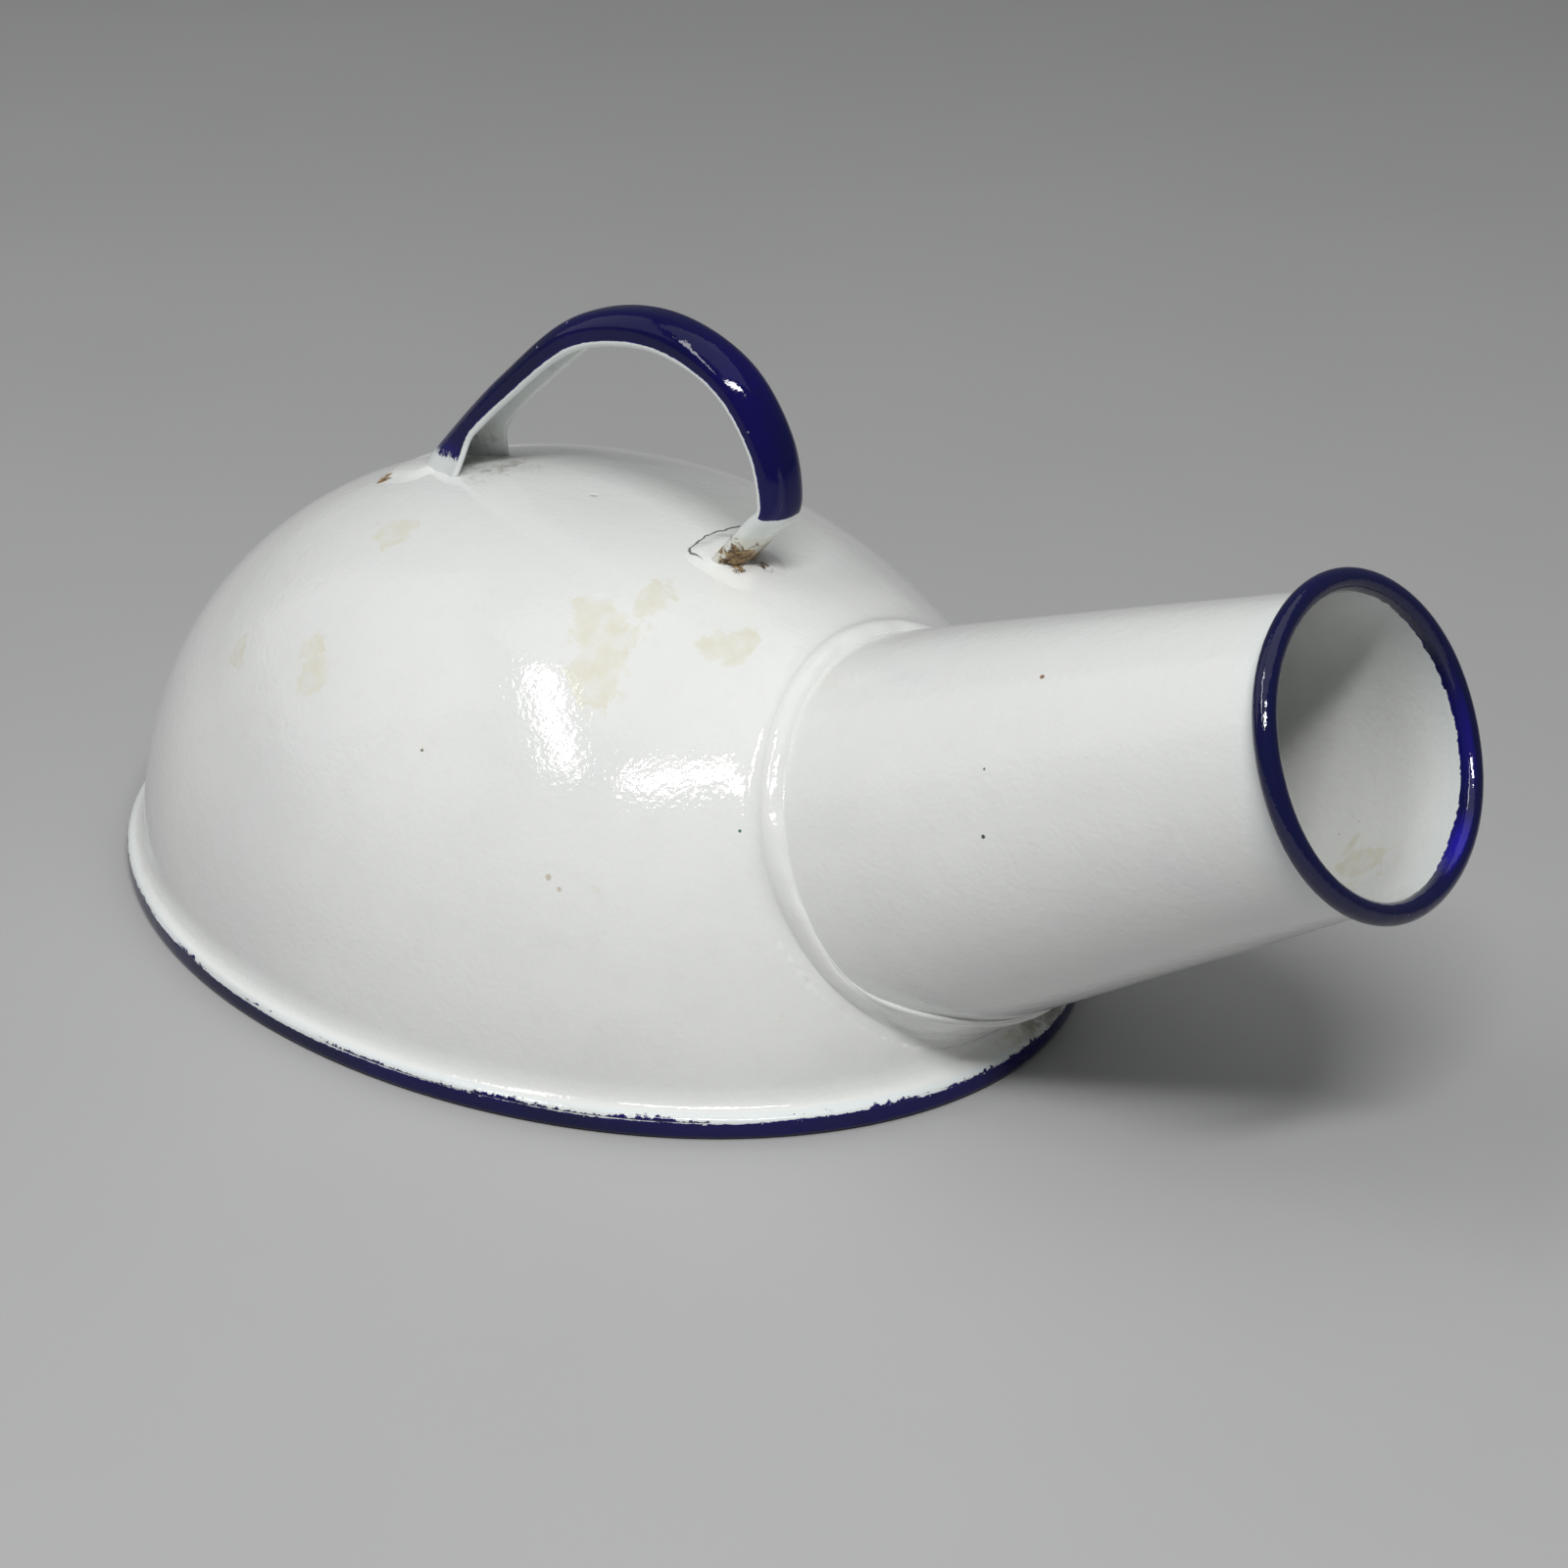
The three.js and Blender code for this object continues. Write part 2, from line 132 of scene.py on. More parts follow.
def make_waves(count, shortest, longest, height):
    """Random slow waves in space, as (direction over length, phase, height) rows."""
    waves = []
    for _ in range(count):
        length = rng.uniform(shortest, longest)
        direction = unit(rng.normal(size=3)) / length
        size = height * (length / longest) ** 1.5
        waves.append((direction, rng.uniform(0, 2 * math.pi), size))
    return waves


def wave_sum(points, waves):
    total = np.zeros(points.shape[:-1])
    for direction, phase, size in waves:
        total += size * np.sin(2 * math.pi * (points @ direction) + phase)
    return total


def near(points, centre, radius):
    """1 at centre, falling smoothly to 0 at radius."""
    distance = np.linalg.norm(points - np.array(centre), axis=-1)
    return 1 - smooth(distance, 0, radius)


def resample(path, count):
    """A polyline with its points spaced evenly along it."""
    path = np.asarray(path, float)
    steps = np.linalg.norm(np.diff(path, axis=0), axis=1)
    along = np.concatenate([[0], np.cumsum(steps)])
    wanted = np.linspace(0, along[-1], count)
    return np.stack([np.interp(wanted, along, path[:, k]) for k in range(path.shape[1])], axis=1)


def bezier(a, b, c, count):
    t = np.linspace(0, 1, count)[:, None]
    return (1 - t) ** 2 * np.array(a) + 2 * t * (1 - t) * np.array(b) + t**2 * np.array(c)


def round_corners(path, times):
    """Cuts the corners of an open polyline again and again, and keeps its ends."""
    path = np.asarray(path, float)
    for _ in range(times):
        first = 0.75 * path[:-1] + 0.25 * path[1:]
        second = 0.25 * path[:-1] + 0.75 * path[1:]
        middle = np.empty((2 * len(first), *path.shape[1:]))
        middle[0::2] = first
        middle[1::2] = second
        path = np.concatenate([path[:1], middle, path[-1:]])
    return path


def grid_faces(rows, columns, around, closed):
    """Quads of a grid. around joins its last column to the first, closed its last row to the first."""
    r = np.arange(rows if closed else rows - 1)
    c = np.arange(columns if around else columns - 1)
    r, c = np.meshgrid(r, c, indexing="ij")
    r2 = (r + 1) % rows
    c2 = (c + 1) % columns
    quads = [r * columns + c, r * columns + c2, r2 * columns + c2, r2 * columns + c]
    return np.stack(quads, axis=-1).reshape(-1, 4)


def full_turn(columns):
    return np.linspace(0, 2 * math.pi, columns, endpoint=False)


def oval_sweep(path, angle):
    """A path of (radius, height) carried round the oval, one row of points for each of its points."""
    points = np.empty((len(path), len(angle), 3))
    points[..., 0] = path[:, :1] * np.cos(angle)
    points[..., 1] = path[:, :1] * np.sin(angle) * RATIO
    points[..., 2] = path[:, 1:]
    return points


def make_piece(name, points, faces, marks, material, nodes=()):
    """A smooth mesh from millimetre points, riding on the frame.

    marks are values kept at its points: blue is how deep a point lies in the trim in millimetres, below
    0 outside it; the others are amounts from 0 up: stain, rust, grime that also carries painted shade,
    and painted light that brightens the trim.
    """
    points = np.asarray(points, float).reshape(-1, 3)
    used = np.unique(faces)
    renumber = np.full(len(points), -1)
    renumber[used] = np.arange(len(used))
    mesh = bpy.data.meshes.new(name)
    mesh.from_pydata((points[used] / 1000).tolist(), [], renumber[faces].tolist())
    for key in ("blue", "stain", "rust", "grime_and_shade", "painted_lit_trim"):
        values = np.asarray(marks.get(key, NO_TRIM if key == "blue" else 0.0), float)
        values = np.full(len(points), values) if values.ndim == 0 else values.reshape(-1)
        kept = mesh.attributes.new(key, "FLOAT", "POINT")
        kept.data.foreach_set("value", values[used].astype(np.float32))
    mesh.polygons.foreach_set("use_smooth", np.ones(len(mesh.polygons), bool))
    mesh.update()
    piece = bpy.data.objects.new(name, mesh)
    bpy.context.scene.collection.objects.link(piece)
    mesh.materials.append(material)
    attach(piece, "root")
    if nodes:
        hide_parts(*nodes)
    return piece


# ---------------------------------------------------------------- shapes of the vessel


def dome_level(p):
    """Below 1 inside the dome's face, above 1 outside."""
    r = np.hypot(p[..., 0], p[..., 1] / RATIO) / DOME_R
    rise = np.maximum(p[..., 2] - DOME_FOOT, 0) / (DOME_TOP - DOME_FOOT)
    return r**FULL_SIDE + rise**FULL_TOP


def dome_height(x, y):
    r = np.hypot(x, y / RATIO) / DOME_R
    return DOME_FOOT + (DOME_TOP - DOME_FOOT) * np.clip(1 - r**FULL_SIDE, 1e-9, 1) ** (1 / FULL_TOP)


def dome_normal(p):
    step = 0.05
    grad = [dome_level(p + step * e) - dome_level(p - step * e) for e in np.eye(3)]
    return unit(np.stack(grad, axis=-1))


dome_waves = make_waves(16, 24, 75, 0.075)


def settle(p):
    """Moves points of the dome's face by its slight unevenness."""
    fade = smooth(p[..., 2], 8, 20)
    return p + dome_normal(p) * (wave_sum(p, dome_waves) * fade)[..., None]


def neck_radius(s):
    return NECK_R0 + (NECK_R1 - NECK_R0) * s / NECK_L


def neck_point(s, out, angle):
    """A point s along the neck and out from its axis. The angle starts at the top of the neck."""
    far = np.clip(s / NECK_L, 0, 1) ** 2
    up = (out * np.cos(angle) * (1 - 0.027 * far))[..., None]
    side = (out * np.sin(angle) * (1 + 0.030 * far))[..., None]
    return NECK_O + s[..., None] * AXIS + up * UP + side * SIDE


def neck_exit(clearance, angle):
    """How far along the neck a line beside it comes out of the dome."""
    low = np.full(np.broadcast(clearance, angle).shape, -14.0)
    high = np.full_like(low, 18.0)
    for _ in range(30):
        middle = (low + high) / 2
        outside = dome_level(neck_point(middle, neck_radius(middle) + clearance, angle)) > 1
        high = np.where(outside, middle, high)
        low = np.where(outside, low, middle)
    return (low + high) / 2


def neck_clearance(p):
    """How far points lie outside the neck."""
    v = p - NECK_O
    s = v @ AXIS
    out = np.linalg.norm(v - s[..., None] * AXIS, axis=-1)
    return np.where(s > -12, out - neck_radius(s), 99.0)


def apart(angle, centre=0.0):
    """Radians from one angle round the neck to another, 0 to pi."""
    return np.abs((angle - centre + math.pi) % (2 * math.pi) - math.pi)


def near_angle(angle, centre, width):
    """1 at centre, falling smoothly to 0 at width from it; radians."""
    return 1 - smooth(apart(angle, centre), 0, width)


# ---------------------------------------------------------------- materials


class Graph:
    """Shorthand for building a material's nodes."""

    def __init__(self, name):
        self.material = bpy.data.materials.new(name)
        self.material.use_nodes = True
        self.tree = self.material.node_tree
        self.shader = self.tree.nodes["Principled BSDF"]
        self.place = self.tree.nodes.new("ShaderNodeTexCoord").outputs["Object"]

    def put(self, socket, value):
        if isinstance(value, bpy.types.NodeSocket):
            self.tree.links.new(value, socket)
        elif value is not None:
            socket.default_value = value

    def mark(self, name):
        node = self.tree.nodes.new("ShaderNodeAttribute")
        node.attribute_name = name
        return node.outputs["Fac"]

    def sum(self, kind, a, b=0.0):
        node = self.tree.nodes.new("ShaderNodeMath")
        node.operation = kind
        self.put(node.inputs[0], a)
        self.put(node.inputs[1], b)
        return node.outputs[0]

    def ramp(self, value, low, high, start=0.0, end=1.0):
        node = self.tree.nodes.new("ShaderNodeMapRange")
        node.interpolation_type = "SMOOTHSTEP"
        self.put(node.inputs["Value"], value)
        self.put(node.inputs["From Min"], low)
        self.put(node.inputs["From Max"], high)
        self.put(node.inputs["To Min"], start)
        self.put(node.inputs["To Max"], end)
        return node.outputs["Result"]

    def noise(self, scale, detail=2.0, rough=0.5, warp=0.0):
        node = self.tree.nodes.new("ShaderNodeTexNoise")
        self.put(node.inputs["Vector"], self.place)
        node.inputs["Scale"].default_value = scale
        node.inputs["Detail"].default_value = detail
        node.inputs["Roughness"].default_value = rough
        node.inputs["Distortion"].default_value = warp
        return node.outputs["Fac"]

    def cells(self, scale):
        """Distance to the nearest of random points, and two random numbers that each point has."""
        node = self.tree.nodes.new("ShaderNodeTexVoronoi")
        self.put(node.inputs["Vector"], self.place)
        node.inputs["Scale"].default_value = scale
        parts = self.tree.nodes.new("ShaderNodeSeparateColor")
        self.put(parts.inputs[0], node.outputs["Color"])
        return node.outputs["Distance"], parts.outputs[0], parts.outputs[1]

    def spot(self, centre, radius):
        """1 within radius of a point, with a ragged edge; millimetres."""
        node = self.tree.nodes.new("ShaderNodeVectorMath")
        node.operation = "DISTANCE"
        self.put(node.inputs[0], self.place)
        node.inputs[1].default_value = [c / 1000 for c in centre]
        ragged = self.sum("MULTIPLY", self.noise(900, 2), radius * 0.0009)
        distance = self.sum("ADD", node.outputs["Value"], ragged)
        reach = radius * 0.00145
        return self.ramp(distance, reach, reach * 0.65)

    def mix(self, share, a, b):
        node = self.tree.nodes.new("ShaderNodeMix")
        node.data_type = "RGBA"
        self.put(node.inputs["Factor"], share)
        for socket, value in ((node.inputs[6], a), (node.inputs[7], b)):
            self.put(socket, (*value, 1) if isinstance(value, tuple) else value)
        return node.outputs[2]

    def bump(self, height, distance, below=None):
        node = self.tree.nodes.new("ShaderNodeBump")
        node.inputs["Distance"].default_value = distance
        self.put(node.inputs["Height"], height)
        if below is not None:
            self.put(node.inputs["Normal"], below)
        return node.outputs["Normal"]


def white_ground(g, broad, fine, stain):
    """The white glaze, with soft mottling and pale stains."""
    white = g.mix(g.ramp(broad, 0.35, 0.65), WHITE_LOW, WHITE_HIGH)
    white = g.mix(g.ramp(g.noise(70, 4, 0.6, 0.6), 0.45, 0.75, 0, 0.35), white, WHITE_COOL)
    white = g.mix(g.ramp(fine, 0.5, 0.75, 0, 0.10), white, WHITE_DULL)
    return g.mix(stain, white, STAIN)


def stain_share(g):
    """Stains with ragged edges, where the piece's marks say."""
    stain = g.sum("ADD", g.mark("stain"), g.ramp(g.noise(130, 5, 0.65, 0.4), 0.2, 0.8, -0.55, 0.55))
    return g.sum("MULTIPLY", g.ramp(stain, 0.42, 0.62), g.ramp(g.noise(300, 3), 0.3, 0.7, 0.20, 0.62))


def speck_share(g):
    """Small dark specks in the glaze."""
    distance, lot, width = g.cells(48)
    past = g.sum("SUBTRACT", distance, g.sum("MULTIPLY", width, 0.014))
    return g.sum("MULTIPLY", g.ramp(past, 0.006, 0.0), g.ramp(lot, 0.90, 0.91))


def cobalt(g, broad, fine, edge):
    """The blue of the trim, lighter near its thin edge, with painted light where the piece's marks say
    and pale flecks of dust in it.
    """
    deep = g.mix(g.ramp(broad, 0.4, 0.6), COBALT_LOW, COBALT_HIGH)
    deep = g.mix(g.ramp(fine, 0.45, 0.8, 0, 0.4), deep, COBALT_DULL)
    near_edge = g.sum("ADD", edge, g.ramp(fine, 0.3, 0.7, -0.2, 0.2))
    deep = g.mix(g.ramp(near_edge, 0.45, 0.0, 0.0, 0.6), deep, COBALT_EDGE)
    # painted light: a brighter blue where the piece's marks say
    deep = g.mix(g.mark("painted_lit_trim"), deep, COBALT_PAINTED_LIT)
    distance, lot, _ = g.cells(330)
    fleck = g.sum("MULTIPLY", g.ramp(distance, 0.105, 0.05), g.ramp(lot, 0.87, 0.88))
    return g.mix(fleck, deep, FLECK)


def crack_share(g):
    """A thin crack under the glaze, half way round the front foot."""
    place = g.tree.nodes.new("ShaderNodeSeparateXYZ")
    g.put(place.inputs[0], g.place)
    powers = []
    for socket, middle, half in zip(place.outputs, CRACK_MIDDLE, CRACK_HALF):
        away = g.sum("DIVIDE", g.sum("SUBTRACT", socket, middle), half)
        powers.append(g.sum("POWER", g.sum("ABSOLUTE", away), 4.0))
    ring = g.sum("POWER", g.sum("ADD", *powers), 0.25)
    ring = g.sum("ADD", ring, g.ramp(g.noise(240, 3), 0.2, 0.8, -0.07, 0.07))
    line = g.ramp(g.sum("ABSOLUTE", g.sum("SUBTRACT", ring, 1.0)), 0.036, 0.012)
    behind = g.ramp(place.outputs[0], 0.0310, 0.0285)
    return g.sum("MULTIPLY", g.sum("MULTIPLY", line, behind), 0.85)


def enamel(name, specks=(), ragged=0.5, chips=0.0, pits=0.00010, cracks=False, specular=0.5):
    """Glossy white and cobalt enamel, with stains, rust, grime and painted shade, and painted light on
    the trim, where the piece's marks say.

    ragged is how far the trim's edge wanders in millimetres, chips how much of it is chipped away and
    pits the depth of the glaze's unevenness in metres.
    """
    g = Graph(name)
    broad = g.noise(16, 3)
    fine = g.noise(260, 4, 0.6)
    stain = stain_share(g)
    dot = speck_share(g)
    white = g.mix(g.sum("MULTIPLY", dot, 0.8), white_ground(g, broad, fine, stain), SPECK)
    for centre, radius, colour in specks:
        white = g.mix(g.spot(centre, radius), white, colour)

    # a pale cyan breath of cobalt in the white beside the trim
    trim = g.mark("blue")
    halo = g.ramp(trim, -7.5, -0.3, 0.0, 0.45)
    white = g.mix(g.sum("MULTIPLY", halo, g.ramp(broad, 0.3, 0.7, 0.5, 1.0)), white, WHITE_CYAN)

    edge = g.sum("ADD", trim, g.ramp(g.noise(700, 5, 0.7), 0.25, 0.75, -ragged, ragged))
    edge = g.sum("ADD", edge, g.ramp(g.noise(60, 2), 0.3, 0.7, -ragged * 0.6, ragged * 0.6))
    is_blue = g.ramp(edge, -0.04, 0.06)
    if chips:
        chip = g.sum("ADD", g.noise(700, 4, 0.7), g.ramp(trim, 0.0, 1.6, chips, -0.2))
        is_blue = g.sum("MULTIPLY", is_blue, g.ramp(chip, 0.80, 0.74))
        beside = g.ramp(g.sum("ABSOLUTE", trim), 0.0, 0.9, chips, -0.3)
        black = g.sum("ADD", g.noise(820, 4, 0.7, 0.5), beside)
        white = g.mix(g.ramp(black, 0.76, 0.80), white, CHIP)
    colour = g.mix(is_blue, white, cobalt(g, broad, fine, edge))
    if cracks:
        colour = g.mix(crack_share(g), colour, CRACK)

    # the grime colour also paints shade where the piece's marks say
    grime_and_shade = g.sum("ADD", g.mark("grime_and_shade"), g.ramp(g.noise(340, 5, 0.7), 0.25, 0.75, -0.42, 0.24))
    grime_and_shade = g.ramp(grime_and_shade, 0.15, 0.95)
    colour = g.mix(grime_and_shade, colour, GRIME_AND_SHADE)
    rust = g.sum("ADD", g.mark("rust"), g.ramp(g.noise(520, 5, 0.7, 0.6), 0.25, 0.75, -0.48, 0.36))
    rust = g.ramp(rust, 0.35, 0.60)
    brown = g.mix(g.ramp(g.noise(620, 4, 0.7), 0.35, 0.68), RUST_DARK, RUST_PALE)
    g.put(g.shader.inputs["Base Color"], g.mix(rust, colour, brown))

    rough = g.ramp(g.noise(40, 3), 0.3, 0.7, 0.05, 0.09)
    for share, more in ((stain, 0.10), (grime_and_shade, 0.35), (rust, 0.55)):
        rough = g.sum("ADD", rough, g.sum("MULTIPLY", share, more))
    g.put(g.shader.inputs["Roughness"], rough)
    g.shader.inputs["IOR"].default_value = 1.54
    g.shader.inputs["Specular IOR Level"].default_value = specular

    # uneven glaze in three sizes, then the relief of rust, specks and trim
    relief = None
    for scale, depth in ((75, 0.8), (280, 0.8), (1000, 0.6)):
        relief = g.bump(g.noise(scale), pits * depth, relief)
    height = g.sum("ADD", g.sum("MULTIPLY", rust, 0.6), g.sum("MULTIPLY", dot, -1.0))
    height = g.sum("ADD", height, g.sum("MULTIPLY", is_blue, 0.5))
    g.put(g.shader.inputs["Normal"], g.bump(height, 0.00012, relief))
    return g.material


dome_enamel = enamel(
    "enamel_dome",
    specks=[
        ((64.6, -36.4, 49.3), 0.38, (0.10, 0.20, 0.14)),
        ((78.6, -34.0, 32.1), 0.50, (0.06, 0.06, 0.16)),
        ((41.4, -58.0, 41.1), 0.70, (0.60, 0.55, 0.46)),
        ((43.6, -57.8, 39.6), 0.60, (0.62, 0.57, 0.48)),
        ((12.1, -57.5, 54.7), 0.40, (0.20, 0.17, 0.12)),
    ],
    cracks=True,
)
neck_enamel = enamel(
    "enamel_neck",
    specks=[
        ((108.4, -15.8, 84.4), 0.60, (0.28, 0.16, 0.10)),
        ((109.0, -30.6, 61.9), 0.50, (0.07, 0.07, 0.08)),
        ((108.4, -30.5, 60.6), 0.28, (0.10, 0.10, 0.10)),
        ((105.9, -26.8, 71.4), 0.35, (0.12, 0.12, 0.13)),
        ((147.9, 20.3, 57.7), 0.35, (0.18, 0.17, 0.13)),
        ((145.0, 19.7, 54.5), 0.25, (0.22, 0.20, 0.16)),
    ],
    ragged=0.30,
)
band_enamel = enamel("enamel_band", ragged=0.16, chips=0.13, specular=0.28)
strap_enamel = enamel("enamel_strap", ragged=0.10, pits=0.00005, specular=0.28)
foot_enamel = enamel("enamel_foot", ragged=0.3, cracks=True)


# ---------------------------------------------------------------- dome with its flared foot


def dome_skin():
    turn = np.linspace(math.pi / 2, 0, 900)
    r = DOME_R * np.maximum(np.cos(turn), 0) ** (2 / FULL_SIDE)
    z = DOME_FOOT + (DOME_TOP - DOME_FOOT) * np.sin(turn) ** (2 / FULL_TOP)
    side = np.stack([r, z], axis=1)[z > 8.6]
    side[0, 0] = 0.02
    side = resample(side, 108)
    last = side[-1]
    slope = unit(side[-1] - side[-2])
    bend = last + slope * (last[1] - 4.9)
    fillet = bezier(last, bend, (98.6, 4.35), 14)[1:]
    shoulder = bezier((98.6, 4.35), (99.6, 4.15), (99.86, 3.35), 8)[1:]
    path = np.concatenate([side, fillet, shoulder])
    angle = full_turn(384)
    points = settle(oval_sweep(path, angle))

    # the flange isn't quite even round the foot
    low = 1 - smooth(points[..., 2], 6, 14)
    wobble = 0.25 * np.sin(3 * angle + 0.7) + 0.18 * np.sin(7 * angle + 2.1) + 0.10 * np.sin(17 * angle)
    points[..., 2] += low * wobble * 0.7 * smooth(points[..., 2], 3.4, 5.2)

    # the faces inside the neck are left out, so that the vessel opens into it
    faces = grid_faces(len(path), len(angle), True, False)
    flat = points.reshape(-1, 3)
    hidden = neck_clearance(flat) < 1.0
    faces = faces[~hidden[faces].any(axis=1)]

    stains = [
        ((-23.2, -27.9, 74.5), 5.5),
        ((-17.8, -53.5, 58.4), 5.5),
        ((-20.0, -50.5, 61.5), 4.0),
        ((-41.9, -50.1, 52.7), 4.5),
        ((27.7, -30.1, 72.8), 7.5),
        ((30.3, -19.1, 75.7), 5.5),
        ((32.2, -37.6, 67.8), 6.5),
        ((47.8, -15.2, 71.1), 6.0),
        ((45.0, -19.5, 71.0), 5.0),
    ]
    stain = np.zeros(len(flat))
    for centre, radius in stains:
        stain = np.maximum(stain, near(flat, centre, radius * 1.5))
    rust = 0.42 * near(flat, (36.0, 6.5, 76.4), 4.5)
    dirt_and_shade = 0.62 * near(flat, (-33.0, 1.0, 77.0), 7.0)
    dirt_and_shade = np.maximum(dirt_and_shade, 0.44 * near(flat, (-24.0, 0.5, 78.5), 15.0))
    # painted shade of the neck: the flange under it is darkened with the grime colour, and a cream stain
    # lies there too
    under_neck_shade = near(flat, (92.0, 12.0, 6.0), 26.0) * (1 - smooth(flat[:, 2], 6, 16))
    dirt_and_shade = np.maximum(dirt_and_shade, 0.66 * under_neck_shade)
    stain = np.maximum(stain, 1.1 * under_neck_shade)
    blue = np.where(flat[:, 2] < 4.4, 3.62 - flat[:, 2], NO_TRIM)
    marks = {"stain": stain, "rust": rust, "grime_and_shade": dirt_and_shade, "blue": blue}
    outward = faces[:, ::-1]
    piece = make_piece("dome_skin", points, outward, marks, dome_enamel, ["body_shell"])
    sheet = piece.modifiers.new("sheet", "SOLIDIFY")
    sheet.thickness = WALL / 1000
    sheet.offset = -1
    return piece


# ---------------------------------------------------------------- base with its folded edge


def base_skin():
    path = np.concatenate(
        [
            [(0.02, 0.0), (40.0, 0.0), (80.0, 0.0), (96.0, 0.0), (98.6, 0.0)],
            bezier((98.9, 0.0), (99.95, 0.05), (100.0, 0.9), 8),
            [(100.02, 1.5), (100.03, 2.1), (100.02, 2.7)],
            bezier((100.0, 3.0), (99.98, 3.75), (99.3, 4.02), 9),
            [(98.4, 3.3), (98.2, 1.1), (80.0, 1.0), (40.0, 1.0), (0.02, 1.0)],
        ]
    )
    angle = full_turn(512)
    points = oval_sweep(path, angle)
    uneven = 0.10 * np.sin(5 * angle + 1.0) + 0.06 * np.sin(13 * angle) + 0.05 * np.sin(29 * angle + 0.4)
    band = smooth(points[..., 2], 1.2, 3.0) * smooth(path[:, :1], 99, 99.9)
    points[..., :2] *= (1 - band * (0.0012 + uneven * 0.008))[..., None]
    faces = grid_faces(len(path), len(angle), True, False)
    flat = points.reshape(-1, 3)
    phi = np.arctan2(flat[:, 1] / RATIO, flat[:, 0])
    line = 3.35 + 0.22 * np.sin(2 * phi + 1.1) + 0.12 * np.sin(9 * phi)
    # the band is darker over its lowest 0.8 mm
    marks = {"blue": line - flat[:, 2], "grime_and_shade": 0.15 * (1 - smooth(flat[:, 2], 0.0, 0.8))}
    return make_piece("base_skin", points, faces, marks, band_enamel, ["base_pan"])


# ---------------------------------------------------------------- neck, mouth bead and collar


def neck_skin():
    columns = 288
    angle = full_turn(columns)
    even = np.ones(columns)
    start = neck_exit(np.zeros(columns), angle) - 2.6
    end = NECK_L - 2.5
    centre = neck_radius(NECK_L) + BEAD_OUT

    # each row is how far along the neck it lies, its radius and how deep it is in the trim
    rows = []
    for t in np.linspace(0, 1, 70):
        s = lerp(start, end, t)
        rows.append((s, neck_radius(s), s - BEAD_START))
    turn = np.radians(np.linspace(-8, 262, 40))
    back = bezier((end, 0), (NECK_L - BEAD, 0), (NECK_L - BEAD * math.cos(turn[0]), 1), 5)[1:-1, 0]
    for k, s in enumerate(back):
        rise = ((k + 1) / 4) ** 1.8
        r = lerp(neck_radius(end), centre + BEAD * math.sin(turn[0]), rise)
        rows.append((s * even, r * even, (s - BEAD_START) * even))
    wobble = 0.20 * np.sin(2 * angle + 0.6) + 0.12 * np.sin(5 * angle + 2.0)
    for a in turn:
        inside = max(0.0, math.degrees(a) - 215) / 57 * 1.8
        s = NECK_L - BEAD * math.cos(a) + wobble * 0.6
        rows.append((s, (centre + BEAD * math.sin(a)) * even, (3.0 - inside) * even))
    lobes = 0.35 * np.sin(3 * angle + 0.5) + 0.22 * np.sin(8 * angle + 1.3) + 0.12 * np.sin(19 * angle)
    deep_side = near_angle(angle, math.radians(150), math.radians(34))
    deep_side = deep_side + 0.25 * near_angle(angle, 1.75, 0.9)
    line = NECK_L - 0.7 - 0.9 * deep_side + 0.25 * lobes
    for t in np.linspace(1, 0, 56):
        s = lerp(start, NECK_L - 0.3, t)
        rows.append((s, neck_radius(s) - WALL + 0.4 * smooth(s, 84, 94), s - line))
    s, r, blue = (np.stack(part) for part in zip(*rows))

    uneven = 0.10 * np.sin(2 * angle + 1.0) + 0.07 * np.sin(3 * angle + 2.2)
    r = r + uneven * smooth(s, 5, 60)
    around = np.broadcast_to(angle, s.shape)
    points = neck_point(s, r, around)
    drift = wave_sum(points, make_waves(12, 26, 70, 0.055))
    radial = unit(points - (NECK_O + ((points - NECK_O) @ AXIS)[..., None] * AXIS))
    points = points + radial * (drift * smooth(s, 6, 20))[..., None]
    faces = grid_faces(len(rows), columns, True, True)

    # painted light: two stretches of the mouth's inner edge are painted a brighter, more vivid blue, as
    # if lit
    inner_edge = smooth(s, NECK_L - 2.2, NECK_L - 1.2) * (1 - smooth(r, 25.1, 25.6))
    faint = 0.30 * near_angle(around, math.radians(108), math.radians(34))
    strong = 0.95 * near_angle(around, math.radians(152), math.radians(20))
    stain = 0.75 * near(points.reshape(-1, 3), (153.5, 15.3, 55.0), 13.0)
    marks = {"blue": blue, "stain": stain, "painted_lit_trim": inner_edge * np.maximum(faint, strong)}
    return make_piece("neck_skin", points, faces, marks, neck_enamel, ["neck_tube"])


def sleeve_length(angle):
    """How far the collar's edge lies from the dome along the neck: short above, a tongue underneath."""
    away = np.degrees(apart(angle))
    turns = (0, 60, 90, 105, 114, 122, 129, 137, 149, 160, 180)
    lengths = (3.4, 3.4, 3.3, 2.8, 2.8, 3.8, 6.0, 8.6, 11.0, 11.6, 11.8)
    length = np.interp(away, turns, lengths)
    kernel = np.hanning(17)
    kernel = kernel / kernel.sum()
    padded = np.concatenate([length[-8:], length, length[:8]])
    return np.convolve(padded, kernel, "valid")


